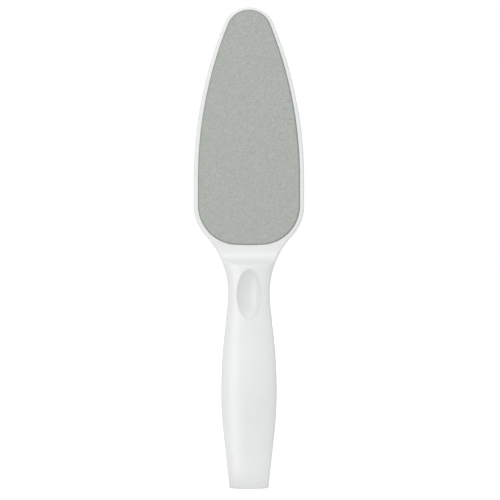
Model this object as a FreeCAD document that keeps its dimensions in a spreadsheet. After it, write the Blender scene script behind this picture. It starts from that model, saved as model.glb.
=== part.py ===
import FreeCAD
import Part
import Sketcher
import math
import os

# Foot file: two welded half shells with a stuck-on abrasive pad on each face.
# Frame: the handle's flat butt stands on z = 0, +Z runs to the tip, X is the width,
# and y = 0 is the parting plane, with the front half on the -Y side. Millimetres and degrees.

doc = FreeCAD.newDocument("FootFile")
sheet = doc.addObject("Spreadsheet::Sheet", "Sizes")

sizes = [
    # outline, seen from the front
    ("overall_length", "250"),
    ("tip_radius", "14"),
    ("paddle_width", "57.5"),
    ("side_length", "13.8"),
    ("heel_height", "146.9"),
    ("heel_share", "0.8"),
    ("neck_length", "45.6"),
    ("waist_width", "21.5"),
    ("waist_radius", "74"),
    ("belly_share", "0.5"),
    ("belly_width", "29"),
    ("belly_radius", "207"),
    ("taper_angle", "6.35"),
    ("butt_radius", "1"),
    # thickness, seen from the side; the crown on each half is a share of the half width deep
    ("paddle_thickness", "6.4"),
    ("edge_land", "1.2"),
    ("crown_share", "0.2857"),
    ("ramp_radius", "12.2"),
    ("edge_radius", "1"),
    # thumb rest, an oval dish in the neck
    ("thumb_drop", "24.8"),
    ("thumb_depth", "2.25"),
    ("thumb_half_width", "13"),
    ("thumb_half_length", "20.7"),
    ("thumb_bulge", "13"),
    ("thumb_edge_radius", "0.35"),
    # inside of the half shells
    ("wall", "2.2"),
    ("pocket_depth", "1"),
    ("rib_thickness", "1.4"),
    ("boss_diameter", "5.5"),
    ("pin_diameter", "2.5"),
    ("pin_length", "1.4"),
    ("pin_clearance", "0.05"),
    ("pin_end_clearance", "0.2"),
    # parting line, with its shadow gap and its tongue and groove
    ("seam_depth", "0.25"),
    ("seam_width", "0.4"),
    ("tongue_width", "0.8"),
    ("tongue_height", "0.8"),
    ("tongue_clearance", "0.05"),
    ("tongue_end_clearance", "0.1"),
    # abrasive pads; the rim left round them is wider at the heel's corners and narrower at the tip
    ("rim_width", "2.05"),
    ("corner_rim", "2.3"),
    ("tip_rim", "1.2"),
    ("pad_bottom_radius", "150"),
    ("pad_margin", "0.6"),
    ("pad_edge_angle", "40"),
    ("adhesive_thickness", "0.15"),
    ("foam_thickness", "0.65"),
    ("grit_thickness", "0.4"),
    # shared
    ("overrun", "5"),
    ("skin_inset", "0"),
]

handle_rib_count = 3
paddle_rib_count = 4

# Sizes that follow from the ones above
formulas = [
    ("plate_half", "=paddle_thickness / 2"),
    ("band_half", "=plate_half + edge_land"),
    ("crown_height", "=crown_share * belly_width / 2"),
    ("core_crown_share", "=(crown_height - wall) / (belly_width / 2 - wall)"),
    ("belly_thickness", "=2 * (band_half + crown_height)"),
    ("widest_height", "=heel_height + side_length"),
    ("waist_height", "=heel_height - neck_length"),
    ("belly_height", "=belly_share * waist_height"),
    ("tip_centre_height", "=overall_length - tip_radius"),
    ("heel_radius", "=heel_share * paddle_width / 2"),
    ("heel_offset", "=paddle_width / 2 - heel_radius"),
    ("pad_tip_height", "=tip_centre_height + rim_width - tip_rim"),
    ("pad_corner_radius", "=heel_radius - corner_rim"),
    ("pad_corner_offset", "=paddle_width / 2 - rim_width - pad_corner_radius"),
    ("pad_swing", "=pad_bottom_radius - pad_corner_radius"),
    ("pad_bottom", "=heel_height - pad_bottom_radius + sqrt(pad_swing ^ 2 - pad_corner_offset ^ 2)"),
    ("ramp_top", "=pad_bottom - pad_margin"),
    ("floor_thickness", "=plate_half - pocket_depth"),
    ("core_ramp_radius", "=ramp_radius + floor_thickness"),
    ("thumb_height", "=ramp_top - thumb_drop"),
    ("waist_half_thickness", "=band_half + crown_share * waist_width / 2"),
    ("thumb_centre", "=waist_half_thickness - thumb_depth + thumb_bulge"),
    ("thumb_bottom", "=thumb_height - thumb_half_length"),
    ("handle_rib_pitch", f"=thumb_bottom / {handle_rib_count + 1}"),
    ("paddle_rib_pitch", f"=(overall_length - ramp_top) / {paddle_rib_count + 1}"),
    ("tongue_inset", "=(wall - tongue_width) / 2"),
    ("tongue_core_inset", "=tongue_inset + tongue_width"),
    ("groove_inset", "=tongue_inset - tongue_clearance"),
    ("groove_core_inset", "=tongue_core_inset + tongue_clearance"),
    ("groove_depth", "=tongue_height + tongue_end_clearance"),
    ("socket_depth", "=pin_length + pin_end_clearance"),
    ("foam_base", "=plate_half + adhesive_thickness"),
    ("grit_base", "=foam_base + foam_thickness"),
    ("grit_face", "=grit_base + grit_thickness"),
]

for row, (alias, content) in enumerate(sizes + formulas, start=1):
    sheet.set(f"A{row}", alias)
    sheet.set(f"B{row}", content)
    sheet.setAlias(f"B{row}", alias)
doc.recompute()


def size(alias):
    return float(sheet.get(alias))


def bind(item, **expressions):
    for path, expression in expressions.items():
        item.setExpression(path.replace("__", "."), expression)


# Sketch helpers, with the sketcher's own numbers for an element's points and for the axes

front_plane = FreeCAD.Rotation(FreeCAD.Vector(1, 0, 0), 90)
side_plane = FreeCAD.Rotation(FreeCAD.Vector(1, 1, 1), 120)
start_end, finish_end, centre_point = range(1, 4)
level_axis, upright_axis = range(-1, -3, -1)
origin = (level_axis, start_end)


def new_sketch(name, rotation):
    sketch = doc.addObject("Sketcher::SketchObject", name)
    sketch.Placement = FreeCAD.Placement(FreeCAD.Vector(), rotation)
    return sketch


def drive(sketch, expression, *constraint):
    index = sketch.addConstraint(Sketcher.Constraint(*constraint))
    sketch.setExpression(f"Constraints[{index}]", expression)


def tie(sketch, *constraint):
    sketch.addConstraint(Sketcher.Constraint(*constraint))


def add_arc(sketch, centre, radius, start_angle, finish_angle):
    circle = Part.Circle(FreeCAD.Vector(*centre, 0), FreeCAD.Vector(0, 0, 1), radius)
    return sketch.addGeometry(Part.ArcOfCircle(circle, start_angle, finish_angle))


def add_line(sketch, start, finish):
    return sketch.addGeometry(Part.LineSegment(FreeCAD.Vector(*start, 0), FreeCAD.Vector(*finish, 0)))


def outline_chain(inset):
    """The right-hand stretches from the tip down, as starting values for a sketch's solver.

    Each is (name, shape, upper end); an arc is (centre, radius, start, finish), a line (start, finish).
    """
    tip = size("tip_radius") - inset
    half = size("paddle_width") / 2 - inset
    rise = size("tip_centre_height") - size("widest_height")
    flank = (half + tip) / 2 + rise ** 2 / (2 * (half - tip))
    flank_angle = math.atan2(rise, flank - half)

    heel = size("heel_radius") - inset
    waist_half = size("waist_width") / 2 - inset
    reach = waist_half - size("heel_offset")
    drop = size("heel_height") - size("waist_height")
    neck = (reach ** 2 + drop ** 2 - heel ** 2) / (2 * (heel - reach))
    neck_angle = math.atan2(drop, reach + neck)

    waist = size("waist_radius") + inset
    belly_half = size("belly_width") / 2 - inset
    gap = waist_half + waist - belly_half
    fall = size("waist_height") - size("belly_height")
    belly = (gap ** 2 + fall ** 2 - waist ** 2) / (2 * (waist - gap))
    belly_angle = math.atan2(fall, gap + belly)

    low_belly = size("belly_radius") - inset
    taper = math.radians(size("taper_angle"))
    taper_top = (belly_half - low_belly * (1 - math.cos(taper)),
                 size("belly_height") - low_belly * math.sin(taper))
    corner = size("butt_radius")
    corner_height = inset + corner
    taper_run = (taper_top[1] - corner_height) * math.tan(taper)
    corner_centre = (taper_top[0] - taper_run - corner / math.cos(taper), corner_height)
    taper_foot = (corner_centre[0] + corner * math.cos(taper), corner_height - corner * math.sin(taper))

    waist_height = size("waist_height")
    heel_height = size("heel_height")
    return [
        ("flank", ((half - flank, size("widest_height")), flank, 0, flank_angle), finish_end),
        ("side", ((half, size("widest_height")), (half, heel_height)), start_end),
        ("heel", ((half - heel, heel_height), heel, -neck_angle, 0), finish_end),
        ("neck", ((waist_half + neck, waist_height), neck, math.pi - neck_angle, math.pi), start_end),
        ("waist", ((waist_half + waist, waist_height), waist, math.pi, math.pi + belly_angle), start_end),
        ("belly", ((belly_half - belly, size("belly_height")), belly, 0, belly_angle), finish_end),
        ("low_belly", ((belly_half - low_belly, size("belly_height")), low_belly, -taper, 0), finish_end),
        ("taper", (taper_foot, taper_top), finish_end),
        ("corner", (corner_centre, corner, -math.pi / 2, -taper), finish_end),
    ]


def mirrored(shape):
    if len(shape) == 2:
        return tuple((-x, z) for x, z in shape)
    (x, z), radius, start_angle, finish_angle = shape
    return ((-x, z), radius, math.pi - finish_angle, math.pi - start_angle)


def add_shape(sketch, shape):
    return add_line(sketch, *shape) if len(shape) == 2 else add_arc(sketch, *shape)


def add_right_side(sketch, chain, inset, heel_inset, joint, above):
    """Adds the right-hand stretches, joined end to end by tangency and driven by the sheet.

    The heel's arc has an inset of its own, and the first stretch meets the start of the element above it
    with the given joint.
    """
    ids = {}
    ends = {}
    upper_id, upper_end = above, start_end
    for name, shape, top in chain:
        ids[name] = add_shape(sketch, shape)
        ends[name] = (top, start_end + finish_end - top)
        tie(sketch, joint, upper_id, upper_end, ids[name], top)
        upper_id, upper_end = ids[name], ends[name][1]
        joint = "Tangent"

    def place_end(name, end, half_width, height):
        if half_width:
            across = f"Sizes.{half_width} / 2 - Sizes.{inset}"
            drive(sketch, across, "DistanceX", *origin, ids[name], end, size(half_width) / 2)
        drive(sketch, f"Sizes.{height}", "DistanceY", *origin, ids[name], end, size(height))

    def set_radius(name, alias, sign):
        drive(sketch, f"Sizes.{alias} {sign} Sizes.{inset}", "Radius", ids[name], size(alias))

    tie(sketch, "Vertical", ids["side"])
    place_end("side", start_end, "paddle_width", "widest_height")
    place_end("side", finish_end, None, "heel_height")
    drive(sketch, f"Sizes.heel_radius - Sizes.{heel_inset}", "Radius", ids["heel"], size("heel_radius"))
    if "neck" in ids:
        tie(sketch, "Horizontal", ids["neck"], centre_point, ids["neck"], finish_end)
        place_end("neck", finish_end, "waist_width", "waist_height")
        set_radius("waist", "waist_radius", "+")
        tie(sketch, "Horizontal", ids["belly"], centre_point, ids["belly"], start_end)
        place_end("belly", start_end, "belly_width", "belly_height")
        set_radius("low_belly", "belly_radius", "-")
        slope = math.pi / 2 - math.radians(size("taper_angle"))
        drive(sketch, "90 deg - Sizes.taper_angle * 1 deg", "Angle", ids["taper"], slope)
        drive(sketch, "Sizes.butt_radius", "Radius", ids["corner"], size("butt_radius"))
    return ids, ends


def add_left_side(sketch, chain, ids, ends, tip, closing):
    """Adds the mirror image of the right-hand stretches, held symmetric about the upright axis."""
    upper_id, upper_end = tip, finish_end
    right_id, right_end = tip, start_end
    for name, shape, top in chain:
        left = add_shape(sketch, mirrored(shape))
        straight = len(shape) == 2
        left_ends = ends[name] if straight else ends[name][::-1]
        tie(sketch, "Coincident", upper_id, upper_end, left, left_ends[0])
        if upper_id != tip:
            tie(sketch, "Symmetric", left, left_ends[0], right_id, right_end, upright_axis)
        if not straight:
            tie(sketch, "Equal", ids[name], left)
        upper_id, upper_end = left, left_ends[1]
        right_id, right_end = ids[name], ends[name][1]
    tie(sketch, "Coincident", upper_id, upper_end, *closing)


def tip_arc(sketch, chain, inset, centre_height):
    angle = chain[0][1][3]
    height = size(centre_height)
    tip = add_arc(sketch, (0, height), size("tip_radius") - size(inset), angle, math.pi - angle)
    tie(sketch, "PointOnObject", tip, centre_point, upright_axis)
    drive(sketch, f"Sizes.tip_radius - Sizes.{inset}", "Radius", tip, size("tip_radius"))
    drive(sketch, f"Sizes.{centre_height}", "DistanceY", *origin, tip, centre_point, height)
    return tip


def outline_sketch(name, inset):
    """The whole outline of the body, inset all round."""
    sketch = new_sketch(name, front_plane)
    chain = outline_chain(size(inset))
    tip = tip_arc(sketch, chain, inset, "tip_centre_height")
    ids, ends = add_right_side(sketch, chain, inset, inset, "Tangent", tip)
    corner_x = chain[-1][1][0][0]
    butt = add_line(sketch, (corner_x, size(inset)), (-corner_x, size(inset)))
    tie(sketch, "Symmetric", tip, start_end, tip, finish_end, upright_axis)
    tie(sketch, "Tangent", ids["corner"], start_end, butt, start_end)
    tie(sketch, "Symmetric", butt, start_end, butt, finish_end, upright_axis)
    drive(sketch, f"Sizes.{inset}", "DistanceY", *origin, butt, start_end, size(inset))
    add_left_side(sketch, chain, ids, ends, tip, (butt, finish_end))
    return sketch


def half_outline_sketch(name, inset):
    """The right half of the outline up to the widest point, closed along the axis, for turning."""
    sketch = new_sketch(name, front_plane)
    chain = outline_chain(size(inset))[1:]
    half_width, height = chain[0][1][0]
    cap = add_line(sketch, (half_width, height), (0, height))
    ids, _ = add_right_side(sketch, chain, inset, inset, "Coincident", cap)
    corner_x = chain[-1][1][0][0]
    butt = add_line(sketch, (corner_x, size(inset)), (0, size(inset)))
    axis = add_line(sketch, (0, size(inset)), (0, height))
    tie(sketch, "Horizontal", cap)
    tie(sketch, "PointOnObject", cap, finish_end, upright_axis)
    tie(sketch, "Tangent", ids["corner"], start_end, butt, start_end)
    tie(sketch, "Horizontal", butt)
    drive(sketch, f"Sizes.{inset}", "DistanceY", *origin, butt, start_end, size(inset))
    tie(sketch, "PointOnObject", butt, finish_end, upright_axis)
    tie(sketch, "Coincident", butt, finish_end, axis, start_end)
    tie(sketch, "Coincident", axis, finish_end, cap, finish_end)
    return sketch


def pad_sketch(name):
    """The pad follows the paddle's outline inside the rim, and a shallow arc closes it at the bottom."""
    sketch = new_sketch(name, front_plane)
    bind(sketch, Placement__Base__y="-Sizes.plate_half")
    chain = outline_chain(size("rim_width"))[:3]
    radius = size("pad_bottom_radius")
    centre = (0, size("pad_bottom") + radius)
    corner = (size("pad_corner_offset"), size("heel_height"))
    corner_angle = math.atan2(corner[1] - centre[1], corner[0])
    heel_name, _, heel_top = chain[2]
    chain[2] = (heel_name, (corner, size("pad_corner_radius"), corner_angle, 0), heel_top)
    tip = tip_arc(sketch, chain, "rim_width", "pad_tip_height")
    ids, ends = add_right_side(sketch, chain, "rim_width", "corner_rim", "Tangent", tip)
    bottom = add_arc(sketch, centre, radius, -math.pi - corner_angle, corner_angle)
    tie(sketch, "Symmetric", tip, start_end, tip, finish_end, upright_axis)
    tie(sketch, "Tangent", ids["heel"], start_end, bottom, finish_end)
    tie(sketch, "Symmetric", bottom, start_end, bottom, finish_end, upright_axis)
    drive(sketch, "Sizes.pad_bottom_radius", "Radius", bottom, radius)
    add_left_side(sketch, chain, ids, ends, tip, (bottom, start_end))
    return sketch


def ramp_sketch(name, face, radius):
    """Side view of what is cut away in front of the paddle: its flat face and the hollow ramp below it."""
    sketch = new_sketch(name, side_plane)
    depth = size(face)
    top = size("overall_length") + size("overrun")
    far = size("paddle_width")
    start = size("ramp_top")
    low = start - size(radius)
    centre_y = -depth - size(radius)
    plate = add_line(sketch, (-depth, start), (-depth, top))
    over = add_line(sketch, (-depth, top), (-far, top))
    front = add_line(sketch, (-far, top), (-far, low))
    under = add_line(sketch, (-far, low), (centre_y, low))
    ramp = add_arc(sketch, (centre_y, start), size(radius), -math.pi / 2, 0)
    tie(sketch, "Coincident", plate, finish_end, over, start_end)
    tie(sketch, "Coincident", over, finish_end, front, start_end)
    tie(sketch, "Coincident", front, finish_end, under, start_end)
    tie(sketch, "Tangent", under, finish_end, ramp, start_end)
    tie(sketch, "Tangent", ramp, finish_end, plate, start_end)
    tie(sketch, "Vertical", plate)
    tie(sketch, "Horizontal", over)
    tie(sketch, "Vertical", front)
    tie(sketch, "Horizontal", under)
    drive(sketch, f"Sizes.{face}", "DistanceX", plate, start_end, *origin, depth)
    drive(sketch, "Sizes.ramp_top", "DistanceY", *origin, plate, start_end, start)
    drive(sketch, "Sizes.overall_length + Sizes.overrun", "DistanceY", *origin, plate, finish_end, top)
    drive(sketch, "Sizes.paddle_width", "DistanceX", front, start_end, *origin, far)
    drive(sketch, f"Sizes.{radius}", "Radius", ramp, size(radius))
    return sketch


# Solid helpers

def extrusion(name, sketch, near, far):
    """Extrudes a front-view sketch between two depths in front of the parting plane."""
    solid = doc.addObject("Part::Extrusion", name)
    solid.Base = sketch
    solid.DirMode = "Normal"
    solid.Solid = True
    bind(solid, LengthFwd=far, LengthRev=f"-({near})")
    return solid


def cross_extrusion(name, sketch):
    """Extrudes a side-view sketch right across the paddle."""
    solid = doc.addObject("Part::Extrusion", name)
    solid.Base = sketch
    solid.DirMode = "Normal"
    solid.Solid = True
    solid.Symmetric = True
    bind(solid, LengthFwd="Sizes.paddle_width + 2 * Sizes.overrun")
    return solid


def crown(name, inset, share):
    """Half of the turned outline, flattened front to back, standing on the face of the band."""
    turned = doc.addObject("Part::Revolution", f"{name}_turned")
    turned.Source = half_outline_sketch(f"{name}_outline", inset)
    turned.Axis = FreeCAD.Vector(0, 0, -1)
    turned.Angle = 180
    turned.Solid = True
    flattened = doc.addObject("Part::Scale", name)
    flattened.Base = turned
    flattened.Uniform = False
    bind(flattened, YScale=f"Sizes.{share}", Placement__Base__y="-Sizes.band_half")
    return flattened


def thumb_dish(name, growth):
    dish = doc.addObject("Part::Ellipsoid", name)
    dish.Angle1 = -90
    dish.Angle2 = 90
    dish.Angle3 = 360
    bind(
        dish,
        Radius1=f"Sizes.thumb_half_length + {growth}",
        Radius2=f"Sizes.thumb_half_width + {growth}",
        Radius3=f"Sizes.thumb_bulge + {growth}",
        Placement__Base__y="-Sizes.thumb_centre",
        Placement__Base__z="Sizes.thumb_height",
    )
    return dish


def fuse(name, solids):
    joined = doc.addObject("Part::MultiFuse", name)
    joined.Shapes = solids
    return joined


def cut(name, base, tool):
    result = doc.addObject("Part::Cut", name)
    result.Base = base
    result.Tool = tool
    return result


def common(name, base, tool):
    result = doc.addObject("Part::Common", name)
    result.Base = base
    result.Tool = tool
    return result


def mirror(name, solid):
    image = doc.addObject("Part::Mirroring", name)
    image.Source = solid
    image.Normal = FreeCAD.Vector(0, 1, 0)
    return image


def cylinder(name, diameter, near, far, height):
    """A round pin or hole along Y on the centre line, between two depths in front of the parting plane."""
    solid = doc.addObject("Part::Cylinder", name)
    solid.Placement = FreeCAD.Placement(FreeCAD.Vector(), front_plane)
    bind(
        solid,
        Radius=f"({diameter}) / 2",
        Height=f"{far} - ({near})",
        Placement__Base__y=f"-({near})",
        Placement__Base__z=height,
    )
    return solid


def slab(name, near, far):
    """A flat block over the whole front view, between two depths in front of the parting plane."""
    solid = doc.addObject("Part::Box", name)
    bind(
        solid,
        Length="Sizes.paddle_width",
        Width=f"{far} - {near}",
        Height="Sizes.overall_length",
        Placement__Base__x="-Sizes.paddle_width / 2",
        Placement__Base__y=f"-({far})",
    )
    return solid


def rib(name, width, length, height):
    """A wall of the core that stays standing, as deep as the handle, centred on the centre line."""
    solid = doc.addObject("Part::Box", name)
    bind(
        solid,
        Length=width,
        Width="Sizes.belly_thickness + Sizes.overrun",
        Height=length,
        Placement__Base__x=f"-({width}) / 2",
        Placement__Base__y="-Sizes.belly_thickness",
        Placement__Base__z=height,
    )
    return solid


def ring(name, outer, inner, near, far):
    outside = extrusion(f"{name}_outside", outline_sketch(f"{name}_outer_outline", outer), near, far)
    inside = extrusion(f"{name}_inside", outline_sketch(f"{name}_inner_outline", inner), near, far)
    return cut(name, outside, inside)


def rim_edges(shape):
    """Edges round the paddle's flat face and the ramp together, without the line between the two."""
    edges = []
    for face in shape.Faces:
        surface = face.Surface
        kind = surface.TypeId
        flat = kind == "Part::GeomPlane" and abs(face.CenterOfMass.y + size("plate_half")) < tolerance
        hollow = kind == "Part::GeomCylinder" and abs(surface.Radius - size("ramp_radius")) < tolerance
        if flat or hollow and abs(surface.Axis.x) > 1 - tolerance:
            edges.extend(face.Edges)
    return [edge for edge in edges if sum(edge.isSame(other) for other in edges) == 1]


def dish_edges(shape):
    """Edges round the thumb rest, which lie on the dish's own ellipsoid."""
    centre = FreeCAD.Vector(0, -size("thumb_centre"), size("thumb_height"))
    radii = [size("thumb_half_width"), size("thumb_bulge"), size("thumb_half_length")]

    def on_dish(point):
        return abs(sum((part / radius) ** 2 for part, radius in zip(point - centre, radii)) - 1) < tolerance

    def sample(edge, share):
        first, last = edge.ParameterRange
        return edge.valueAt(first + share * (last - first))

    return [edge for edge in shape.Edges if all(on_dish(sample(edge, share)) for share in sample_shares)]


def edge_names(shape, edges):
    return [f"Edge{i}" for i, edge in enumerate(shape.Edges, start=1) if any(edge.isSame(e) for e in edges)]


tolerance = 1e-4
sample_shares = (0, 0.3, 0.7, 1)

# Outside of a half shell

skin = outline_sketch("skin_outline", "skin_inset")
band = extrusion("band", skin, "Sizes.seam_width / 2", "Sizes.band_half")
seam = extrusion("seam_layer", outline_sketch("seam_outline", "seam_depth"), "0", "Sizes.plate_half / 2")
outer_edge = fuse("outer_edge", [seam, band])
blank = fuse("blank", [outer_edge, crown("crown", "skin_inset", "crown_share")])
ramp = cross_extrusion("ramp_cutter", ramp_sketch("ramp_profile", "plate_half", "ramp_radius"))
relieved = cut("relieved", blank, ramp)
dished = cut("dished", relieved, thumb_dish("thumb_dish", "0"))
doc.recompute()

rounded = doc.addObject("PartDesign::Body", "rounded")
rounded.BaseFeature = dished
doc.recompute()
base = rounded.Group[0]
rim_fillet = rounded.newObject("PartDesign::Fillet", "rim_fillet")
rim_fillet.Base = (base, edge_names(base.Shape, rim_edges(base.Shape)))
bind(rim_fillet, Radius="Sizes.edge_radius")
doc.recompute()
dish_fillet = rounded.newObject("PartDesign::Fillet", "dish_fillet")
dish_fillet.Base = (rim_fillet, edge_names(rim_fillet.Shape, dish_edges(rim_fillet.Shape)))
bind(dish_fillet, Radius="Sizes.thumb_edge_radius")
doc.recompute()

# Core, hollowed out of the half shell except where its ribs and bosses stand

core_outline = outline_sketch("core_outline", "wall")
core_band = extrusion("core_band", core_outline, "-Sizes.overrun", "Sizes.band_half")
core_blank = fuse("core_blank", [core_band, crown("core_crown", "wall", "core_crown_share")])
core_ramp_profile = ramp_sketch("core_ramp_profile", "pocket_depth", "core_ramp_radius")
core_ramp = cross_extrusion("core_ramp", core_ramp_profile)

handle_heights = [f"{i} * Sizes.handle_rib_pitch" for i in range(1, handle_rib_count + 1)]
paddle_heights = [f"Sizes.ramp_top + {i} * Sizes.paddle_rib_pitch" for i in range(1, paddle_rib_count + 1)]
rib_heights = handle_heights + paddle_heights
standing = [
    core_ramp,
    thumb_dish("thumb_wall", "Sizes.wall"),
    rib("spine", "Sizes.rib_thickness", "Sizes.overall_length", "0"),
]
for number, height in enumerate(rib_heights, start=1):
    bottom = f"{height} - Sizes.rib_thickness / 2"
    standing.append(rib(f"rib_{number}", "Sizes.paddle_width", "Sizes.rib_thickness", bottom))
    depth = "Sizes.belly_thickness"
    standing.append(cylinder(f"boss_{number}", "Sizes.boss_diameter", "-Sizes.overrun", depth, height))
core = cut("core", core_blank, fuse("standing", standing))
half_shell = cut("half_shell", rounded, core)

# The two halves: tongue and pins on the front one, groove and sockets in the back one

tongue = ring("tongue", "tongue_inset", "tongue_core_inset", "-Sizes.tongue_height", "Sizes.tongue_height")
pins = [cylinder(f"pin_{number}", "Sizes.pin_diameter", "-Sizes.pin_length", "Sizes.pocket_depth", height)
        for number, height in enumerate(rib_heights, start=1)]
front_shell = fuse("front_shell", [half_shell, tongue] + pins)

groove = ring("groove", "groove_inset", "groove_core_inset", "-Sizes.groove_depth", "Sizes.overrun")
bore = "Sizes.pin_diameter + 2 * Sizes.pin_clearance"
sockets = [cylinder(f"socket_{number}", bore, "-Sizes.socket_depth", "Sizes.overrun", height)
           for number, height in enumerate(rib_heights, start=1)]
back_shell = cut("back_shell", mirror("back_half", half_shell), fuse("back_cutter", [groove] + sockets))

# Abrasive pads, each of adhesive film, foam and grit sheet, with one sloping edge cut through all three

pad = doc.addObject("Part::Extrusion", "pad")
pad.Base = pad_sketch("pad_outline")
pad.DirMode = "Normal"
pad.Solid = True
bind(pad, LengthFwd="Sizes.grit_face - Sizes.plate_half", TaperAngle="-Sizes.pad_edge_angle")
layers = {
    "adhesive": ("Sizes.plate_half", "Sizes.foam_base"),
    "foam_pad": ("Sizes.foam_base", "Sizes.grit_base"),
    "grit_sheet": ("Sizes.grit_base", "Sizes.grit_face"),
}
subparts = [front_shell, back_shell]
for layer, (near, far) in layers.items():
    front = common(f"front_{layer}", pad, slab(f"{layer}_slab", near, far))
    subparts += [front, mirror(f"back_{layer}", front)]

doc.recompute()
for item in doc.Objects:
    if "Invalid" in item.State or "Error" in item.State:
        raise RuntimeError(f"{item.Label} failed: {item.State}")
for item in subparts:
    if item.Shape.isNull() or not item.Shape.isValid() or len(item.Shape.Solids) != 1:
        raise RuntimeError(f"{item.Label} is not one valid solid")

os.makedirs("parts", exist_ok=True)
for item in subparts:
    item.Label = item.Name
    item.Shape.exportStep(f"parts/{item.Label}.step")
    print(item.Label, round(item.Shape.Volume, 1), "cubic mm")
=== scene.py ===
import bpy
import math
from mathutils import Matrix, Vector


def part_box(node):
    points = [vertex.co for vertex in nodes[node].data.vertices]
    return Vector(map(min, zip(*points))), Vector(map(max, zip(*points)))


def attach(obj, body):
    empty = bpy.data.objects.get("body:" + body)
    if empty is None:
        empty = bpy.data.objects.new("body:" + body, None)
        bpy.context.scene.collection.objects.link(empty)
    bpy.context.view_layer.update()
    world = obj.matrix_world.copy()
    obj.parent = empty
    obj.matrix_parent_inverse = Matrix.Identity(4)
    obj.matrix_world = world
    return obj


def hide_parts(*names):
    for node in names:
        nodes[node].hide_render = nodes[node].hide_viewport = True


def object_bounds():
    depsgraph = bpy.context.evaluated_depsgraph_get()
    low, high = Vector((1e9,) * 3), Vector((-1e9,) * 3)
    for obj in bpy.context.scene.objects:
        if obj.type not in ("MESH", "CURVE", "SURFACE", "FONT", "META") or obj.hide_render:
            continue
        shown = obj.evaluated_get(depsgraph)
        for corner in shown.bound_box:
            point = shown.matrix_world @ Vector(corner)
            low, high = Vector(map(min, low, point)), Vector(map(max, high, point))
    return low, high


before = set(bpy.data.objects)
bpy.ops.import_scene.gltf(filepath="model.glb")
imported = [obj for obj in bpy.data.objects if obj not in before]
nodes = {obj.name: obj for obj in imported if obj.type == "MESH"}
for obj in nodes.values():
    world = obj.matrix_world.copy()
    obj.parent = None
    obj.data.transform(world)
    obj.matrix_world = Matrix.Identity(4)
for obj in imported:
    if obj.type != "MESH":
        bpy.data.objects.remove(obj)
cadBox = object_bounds()
sides = ("front", "back")
mm = 0.001
print("frame loaded:", sorted(nodes))


# helpers for materials

def linear(hexText):
    # an sRGB hex colour as the linear values that shaders take
    channels = [int(hexText[i:i + 2], 16) / 255 for i in (1, 3, 5)]
    return tuple(c / 12.92 if c <= 0.04045 else ((c + 0.055) / 1.055) ** 2.4 for c in channels) + (1,)


def addNode(tree, kind, settings=None, inOrder=(), **links):
    # settings fill properties or sockets by name, inOrder fills the first sockets with outputs or values,
    # and links join outputs to sockets by name, with a space written as _
    node = tree.nodes.new(kind)
    for key, value in (settings or {}).items():
        if key in node.inputs:
            node.inputs[key].default_value = value
        else:
            setattr(node, key, value)
    for socket, source in zip(node.inputs, inOrder):
        if isinstance(source, bpy.types.NodeSocket):
            tree.links.new(source, socket)
        else:
            socket.default_value = source
    for key, source in links.items():
        tree.links.new(source, node.inputs[key.replace("_", " ")])
    return node


def newMaterial(name):
    material = bpy.data.materials.new(name)
    material.use_nodes = True
    material.node_tree.nodes.clear()
    return material, material.node_tree


def objectPlace(tree):
    return addNode(tree, "ShaderNodeTexCoord").outputs["Object"]


def blendStops(tree, factor, *stops):
    # a colour ramp between two stops, each a place along the factor and a colour
    ramp = addNode(tree, "ShaderNodeValToRGB", Fac=factor)
    for element, (place, colour) in zip(ramp.color_ramp.elements, stops):
        element.position = place
        element.color = linear(colour)
    return ramp.outputs["Color"]


def addSurface(tree, settings, **links):
    shader = addNode(tree, "ShaderNodeBsdfPrincipled", settings, **links)
    addNode(tree, "ShaderNodeOutputMaterial", Surface=shader.outputs["BSDF"])


# helpers for meshes

meshing = {
    "mergeDistance": 0.001 * mm,
    "flatAngle": 0.05,
    "facing": 0.9,
    "rimSegments": 3,
    "rimProfile": 0.5,
}


def selectOnly(obj):
    bpy.ops.object.select_all(action="DESELECT")
    obj.select_set(True)
    bpy.context.view_layer.objects.active = obj


def applyModifier(obj, kind, name, **settings):
    selectOnly(obj)
    modifier = obj.modifiers.new(name, kind)
    for key, value in settings.items():
        setattr(modifier, key, value)
    bpy.ops.object.modifier_apply(modifier=name)


def mergedCopy(node, name):
    # the CAD mesh is loose triangles, so its copy is merged into one skin
    obj = nodes[node].copy()
    obj.data = nodes[node].data.copy()
    obj.name = obj.data.name = name
    obj.parent = None
    for key in list(obj.keys()):
        del obj[key]
    bpy.context.scene.collection.objects.link(obj)
    selectOnly(obj)
    bpy.ops.object.mode_set(mode="EDIT")
    bpy.ops.mesh.select_all(action="SELECT")
    bpy.ops.mesh.remove_doubles(threshold=meshing["mergeDistance"])
    bpy.ops.object.mode_set(mode="OBJECT")
    return obj


def dissolvedCopy(node, name):
    # flat faces become one face each, so that only their real edges are left to round
    obj = mergedCopy(node, name)
    bpy.ops.object.mode_set(mode="EDIT")
    bpy.ops.mesh.select_all(action="SELECT")
    bpy.ops.mesh.dissolve_limited(angle_limit=math.radians(meshing["flatAngle"]))
    bpy.ops.object.mode_set(mode="OBJECT")
    return obj


def roundRim(obj, wanted, radius):
    # rounds the border of the wanted faces, which are picked in object mode
    bpy.ops.object.mode_set(mode="EDIT")
    bpy.ops.mesh.select_mode(type="FACE")
    bpy.ops.mesh.select_all(action="DESELECT")
    bpy.ops.object.mode_set(mode="OBJECT")
    for face in obj.data.polygons:
        face.select = wanted(face)
    bpy.ops.object.mode_set(mode="EDIT")
    bpy.ops.mesh.region_to_loop()
    bpy.ops.mesh.bevel(offset=radius, segments=meshing["rimSegments"], profile=meshing["rimProfile"])
    bpy.ops.object.mode_set(mode="OBJECT")


def finishPiece(obj, material, node):
    obj.data.materials.clear()
    obj.data.materials.append(material)
    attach(obj, "root")
    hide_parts(node)


# moulded body

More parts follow.
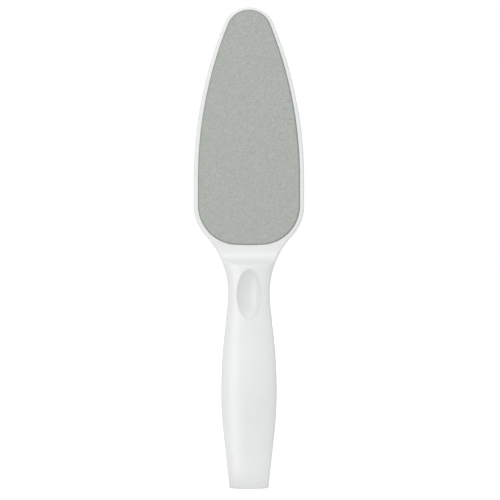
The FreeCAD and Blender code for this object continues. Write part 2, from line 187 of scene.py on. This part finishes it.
bodyLook = {
    "shade": (0.35, "#eaebeb"),
    "colour": (0.65, "#eeefef"),
    "driftSize": 30 * mm,
    "roughness": 0.32,
    "roughnessDrift": 0.03,
    "ior": 1.53,
    "textureSize": 0.5 * mm,
    "textureDepth": 0.004 * mm,
    "smoothAngle": 24,
    "faceWeight": 50,
    # the thumb rests, front and back, have a slightly darker floor, painted shade for their hollows; it
    # lies just inside this oval, and the edge is the share of the radii over which it fades in
    "restCentre": (0, 18.2 * mm, 100.7 * mm),
    "restRadii": (13.3 * mm, 13.3 * mm, 21.1 * mm),
    "restShadeEdge": 0.015,
    "restPaintedShade": "#e2e3e3",
}


def mouldedAbs():
    # white ABS, injection moulded: satin, with a fine spark-eroded texture and a faintly uneven gloss, and
    # painted shade on the thumb rests' floors
    material, tree = newMaterial("white moulded ABS")
    place = objectPlace(tree)
    drift = addNode(
        tree, "ShaderNodeTexNoise", {"Scale": 1 / bodyLook["driftSize"], "Detail": 2}, Vector=place)
    tint = blendStops(tree, drift.outputs["Fac"], bodyLook["shade"], bodyLook["colour"])
    gloss = addNode(
        tree, "ShaderNodeMapRange",
        {"To Min": bodyLook["roughness"] - bodyLook["roughnessDrift"],
         "To Max": bodyLook["roughness"] + bodyLook["roughnessDrift"]},
        Value=drift.outputs["Fac"])
    # absolute places put both rests' painted shade in one oval
    oneSide = addNode(tree, "ShaderNodeVectorMath", {"operation": "ABSOLUTE"}, Vector=place)
    toRest = addNode(
        tree, "ShaderNodeMapping",
        {"vector_type": "TEXTURE", "Location": bodyLook["restCentre"], "Scale": bodyLook["restRadii"]},
        Vector=oneSide.outputs["Vector"])
    inRestShade = addNode(
        tree, "ShaderNodeTexGradient", {"gradient_type": "SPHERICAL"}, Vector=toRest.outputs["Vector"])
    restShadeMask = addNode(
        tree, "ShaderNodeMapRange", {"From Max": bodyLook["restShadeEdge"]}, Value=inRestShade.outputs["Fac"])
    # the rests' floor is mixed towards a darker white: painted shade in the hollows
    colour = addNode(
        tree, "ShaderNodeMixRGB", {"Color2": linear(bodyLook["restPaintedShade"])},
        Fac=restShadeMask.outputs["Result"], Color1=tint)
    texture = addNode(
        tree, "ShaderNodeTexNoise", {"Scale": 1 / bodyLook["textureSize"], "Detail": 3}, Vector=place)
    bump = addNode(
        tree, "ShaderNodeBump", {"Strength": 1, "Distance": bodyLook["textureDepth"]},
        Height=texture.outputs["Fac"])
    addSurface(
        tree, {"IOR": bodyLook["ior"]}, Base_Color=colour.outputs["Color"],
        Roughness=gloss.outputs["Result"], Normal=bump.outputs["Normal"])
    return material


def makeShell(node, name, material):
    obj = mergedCopy(node, name)
    bpy.ops.object.shade_smooth_by_angle(angle=math.radians(bodyLook["smoothAngle"]))
    # large faces keep their own normals, so that flats and the ramp stay even beside their rounded edges
    applyModifier(
        obj, "WEIGHTED_NORMAL", "even faces",
        mode="FACE_AREA", weight=bodyLook["faceWeight"], keep_sharp=True)
    finishPiece(obj, material, node)


plastic = mouldedAbs()
for side in sides:
    makeShell(f"{side}_shell", f"{side}BodyHalf", plastic)
print("body halves done")


# abrasive sheets: a fine grid cut to the sheet's outline, with the grains raised on its face

gritLook = {
    "binder": (0.4, "#a0a49f"),
    "grain": (0.95, "#b8bcb7"),
    "grainWeight": 0.35,
    "roughness": 0.72,
    "ior": 1.6,
    "cell": 0.4 * mm,
    "margin": 1 * mm,
    "sink": 0.002 * mm,
    "sinkTolerance": 0.0005 * mm,
    "grainSize": 0.5 * mm,
    "relief": 0.1 * mm,
    "edgeRoll": 0.12 * mm,
    "mottle": 0.8 * mm,
    "smoothAngle": 50,
}


def gritCoating():
    # aluminium oxide grains in a grey resin: matt and mottled, each grain a slightly different grey; real
    # grains are about 0.15 mm, drawn here at 0.5 mm so that they show
    material, tree = newMaterial("aluminium oxide grit in grey resin")
    place = objectPlace(tree)
    grains = addNode(
        tree, "ShaderNodeTexVoronoi", {"Scale": 1 / gritLook["grainSize"], "Randomness": 1}, Vector=place)
    mottle = addNode(
        tree, "ShaderNodeTexNoise", {"Scale": 1 / gritLook["mottle"], "Detail": 4, "Roughness": 0.7},
        Vector=place)
    split = addNode(tree, "ShaderNodeSeparateColor", Color=grains.outputs["Color"])
    amount = addNode(
        tree, "ShaderNodeMath", {"operation": "MULTIPLY_ADD"},
        (split.outputs["Red"], gritLook["grainWeight"], mottle.outputs["Fac"]))
    tint = blendStops(tree, amount.outputs["Value"], gritLook["binder"], gritLook["grain"])
    bump = addNode(
        tree, "ShaderNodeBump", {"Strength": 0.5, "Distance": gritLook["relief"], "invert": True},
        Height=grains.outputs["Distance"])
    addSurface(
        tree, {"IOR": gritLook["ior"], "Roughness": gritLook["roughness"]},
        Base_Color=tint, Normal=bump.outputs["Normal"])
    return material


def makeGritSheet(side, material):
    node = f"{side}_grit_sheet"
    low, high = (Vector(c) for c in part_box(node))
    outward = -1 if side == "front" else 1
    faceY = low.y if side == "front" else high.y
    gridY = faceY - outward * gritLook["sink"]

    # the die-cut outline, with the face's edge rolled over
    outline = dissolvedCopy(node, f"{side}GritOutline")
    roundRim(outline, lambda face: face.normal.y * outward > meshing["facing"], gritLook["edgeRoll"])

    # a block with a gridded face, a little larger than the sheet, that starts just under its face
    width = high.x - low.x + 2 * gritLook["margin"]
    height = high.z - low.z + 2 * gritLook["margin"]
    depth = high.y - low.y + gritLook["margin"]
    columns, rows = round(width / gritLook["cell"]), round(height / gritLook["cell"])
    bpy.ops.object.select_all(action="DESELECT")
    bpy.ops.mesh.primitive_grid_add(x_subdivisions=columns, y_subdivisions=rows, size=1)
    sheet = bpy.context.object
    sheet.name = sheet.data.name = f"{side}GritSheet"
    sheet.scale = (width, height, 1)
    sheet.rotation_euler = (-outward * math.pi / 2, 0, 0)
    sheet.location = ((low.x + high.x) / 2, gridY, (low.z + high.z) / 2)
    bpy.ops.object.transform_apply(location=True, rotation=True, scale=True)
    bpy.ops.object.mode_set(mode="EDIT")
    bpy.ops.mesh.select_all(action="SELECT")
    bpy.ops.mesh.region_to_loop()
    bpy.ops.mesh.extrude_region_move(TRANSFORM_OT_translate={"value": (0, -outward * depth, 0)})
    bpy.ops.mesh.edge_face_add()
    bpy.ops.mesh.select_all(action="SELECT")
    bpy.ops.mesh.normals_make_consistent(inside=False)
    bpy.ops.object.mode_set(mode="OBJECT")
    applyModifier(
        sheet, "BOOLEAN", "cut to outline", operation="INTERSECT", solver="EXACT", object=outline)
    bpy.data.objects.remove(outline)

    # grains: the face's points sink below the sheet's face by a fixed cell pattern
    face = sheet.vertex_groups.new(name="face")
    onFace = [v.index for v in sheet.data.vertices if abs(v.co.y - gridY) < gritLook["sinkTolerance"]]
    face.add(onFace, 1, "REPLACE")
    grains = bpy.data.textures.new(f"{side}Grains", "VORONOI")
    grains.noise_scale = gritLook["grainSize"]
    applyModifier(
        sheet, "DISPLACE", "grains", texture=grains, texture_coords="LOCAL", direction="Y",
        vertex_group="face", mid_level=1, strength=outward * gritLook["relief"])
    selectOnly(sheet)
    bpy.ops.object.shade_smooth_by_angle(angle=math.radians(gritLook["smoothAngle"]))
    finishPiece(sheet, material, node)
    return sheet


grit = gritCoating()
for side in sides:
    sheet = makeGritSheet(side, grit)
    print(sheet.name, len(sheet.data.polygons), "faces")


# foam backing, die-cut with the sheet, so its edge is pinched at the top and the bottom

foamLook = {
    "poreShade": (0.1, "#8a8e89"),
    "colour": (0.45, "#a0a49f"),
    "poreSize": 0.35 * mm,
    "poreDepth": 0.05 * mm,
    "pinch": 0.06 * mm,
    "roughness": 0.9,
    "ior": 1.48,
    "smoothAngle": 40,
}


def closedCellFoam():
    # grey EVA foam, cut: matt, with small closed cells along the cut, their dimpled centres darkened as
    # painted shade
    material, tree = newMaterial("grey EVA foam")
    cells = addNode(
        tree, "ShaderNodeTexVoronoi", {"Scale": 1 / foamLook["poreSize"]}, Vector=objectPlace(tree))
    # each cell's centre darkens to the pore colour: painted shade in the pores
    tint = blendStops(tree, cells.outputs["Distance"], foamLook["poreShade"], foamLook["colour"])
    bump = addNode(
        tree, "ShaderNodeBump", {"Strength": 0.6, "Distance": foamLook["poreDepth"]},
        Height=cells.outputs["Distance"])
    addSurface(
        tree, {"Roughness": foamLook["roughness"], "IOR": foamLook["ior"]},
        Base_Color=tint, Normal=bump.outputs["Normal"])
    return material


def makeFoamPad(side, material):
    node = f"{side}_foam_pad"
    obj = dissolvedCopy(node, f"{side}FoamPad")
    roundRim(obj, lambda face: abs(face.normal.y) > meshing["facing"], foamLook["pinch"])
    bpy.ops.object.shade_smooth_by_angle(angle=math.radians(foamLook["smoothAngle"]))
    finishPiece(obj, material, node)


foam = closedCellFoam()
for side in sides:
    makeFoamPad(side, foam)
print("foam pads done")


# adhesive film, which only shows as a thin line under each pad and keeps its CAD shape

filmLook = {
    "cloudy": (0.3, "#cfcfc8"),
    "clear": (0.7, "#e2e2dc"),
    "cloudSize": 2 * mm,
    "roughness": 0.3,
    "ior": 1.47,
}


def adhesiveFilm():
    # acrylic transfer adhesive: milky, smooth and slightly glossy, with a faint cloudiness
    material, tree = newMaterial("acrylic adhesive film")
    cloud = addNode(
        tree, "ShaderNodeTexNoise", {"Scale": 1 / filmLook["cloudSize"], "Detail": 3},
        Vector=objectPlace(tree))
    tint = blendStops(tree, cloud.outputs["Fac"], filmLook["cloudy"], filmLook["clear"])
    addSurface(tree, {"Roughness": filmLook["roughness"], "IOR": filmLook["ior"]}, Base_Color=tint)
    return material


film = adhesiveFilm()
for side in sides:
    for slot in nodes[f"{side}_adhesive"].material_slots:
        slot.material = film
print("adhesive films done")


# camera, matched to the photograph's frame: the pixels are those of the handle's axis, the tip and the butt

view = {
    "imageSize": 500,
    "axisPixel": 249.0,
    "tipPixel": 8.5,
    "buttPixel": 486.2,
    "distance": 0.58,
    "sensor": 36,
}


def addCamera():
    length = cadBox[1][2] - cadBox[0][2]
    perPixel = length / (view["buttPixel"] - view["tipPixel"])
    middle = view["imageSize"] / 2
    data = bpy.data.cameras.new("camera")
    data.sensor_width = view["sensor"]
    data.lens = view["sensor"] * view["distance"] / (perPixel * view["imageSize"])
    camera = bpy.data.objects.new("camera", data)
    camera.location = (
        (middle - view["axisPixel"]) * perPixel,
        -view["distance"],
        (view["buttPixel"] - middle) * perPixel)
    camera.rotation_euler = (math.pi / 2, 0, 0)
    bpy.context.scene.collection.objects.link(camera)
    bpy.context.scene.camera = camera


addCamera()


# studio: white paper that ends just in front of the object, an even white room, a tall strip light on the
# left, which reaches below the paper so that its highlight runs down the whole handle, a lamp from above
# for the ramp, a weak fill at the front and one behind

studio = {
    "floorSize": 6,
    "floorFront": -0.03,
    "paper": "#ffffff",
    "paperGlow": 0.64,
    "paperAlbedo": "#e6e6e6",
    "roomLevel": 0.5,
    "aim": (0, 0, 0.13),
}
softboxes = {
    "key": {"place": (-0.48, -1.1, 0.06), "width": 0.22, "height": 1.2, "radiance": 5.2},
    "top": {"place": (0, -0.9, 0.95), "width": 0.9, "height": 0.4, "radiance": 2.9},
    "front": {"place": (0.1, -1.3, 0.2), "width": 1.0, "height": 0.8, "radiance": 0.36},
    "back": {"place": (0.3, 1.2, 0.5), "width": 0.8, "height": 0.8, "radiance": 3.2},
}


def backgroundRay(tree):
    # one where the camera, a gloss or a clear piece shows the background itself
    path = addNode(tree, "ShaderNodeLightPath")
    total = path.outputs["Is Camera Ray"]
    for name in ("Is Glossy Ray", "Is Transmission Ray"):
        larger = addNode(tree, "ShaderNodeMath", {"operation": "MAXIMUM"}, (total, path.outputs[name]))
        total = larger.outputs["Value"]
    return total


def addRoom():
    world = bpy.data.worlds.new("white room")
    world.use_nodes = True
    tree = world.node_tree
    tree.nodes.clear()
    level = addNode(
        tree, "ShaderNodeMapRange", {"To Min": studio["roomLevel"], "To Max": 1}, Value=backgroundRay(tree))
    glow = addNode(tree, "ShaderNodeBackground", {"Color": (1, 1, 1, 1)}, Strength=level.outputs["Result"])
    addNode(tree, "ShaderNodeOutputWorld", Surface=glow.outputs["Background"])
    bpy.context.scene.world = world


def addFloor():
    bpy.ops.object.select_all(action="DESELECT")
    bpy.ops.mesh.primitive_plane_add(
        size=studio["floorSize"], location=(0, studio["floorFront"] + studio["floorSize"] / 2, 0))
    floor = bpy.context.object
    floor.name = "floor"
    # paper that is white to the camera, and still takes the object's shadow
    material, tree = newMaterial("white paper")
    strength = addNode(
        tree, "ShaderNodeMapRange", {"To Min": 0, "To Max": studio["paperGlow"]}, Value=backgroundRay(tree))
    paper = addNode(tree, "ShaderNodeBsdfDiffuse", {"Color": linear(studio["paperAlbedo"])})
    glow = addNode(
        tree, "ShaderNodeEmission", {"Color": linear(studio["paper"])}, Strength=strength.outputs["Result"])
    both = addNode(
        tree, "ShaderNodeAddShader", None, (paper.outputs["BSDF"], glow.outputs["Emission"]))
    addNode(tree, "ShaderNodeOutputMaterial", Surface=both.outputs["Shader"])
    floor.data.materials.append(material)


def addSoftbox(name, place, width, height, radiance):
    data = bpy.data.lights.new(name, "AREA")
    data.shape = "RECTANGLE"
    data.size, data.size_y = width, height
    data.energy = radiance * math.pi * width * height
    lamp = bpy.data.objects.new(name, data)
    lamp.location = place
    lamp.rotation_euler = (Vector(studio["aim"]) - lamp.location).to_track_quat("-Z", "Y").to_euler()
    lamp.visible_camera = False
    bpy.context.scene.collection.objects.link(lamp)


addRoom()
addFloor()
for name, values in softboxes.items():
    addSoftbox(f"{name} softbox", **values)
bpy.context.scene.view_settings.view_transform = "Standard"
print("camera and studio done")
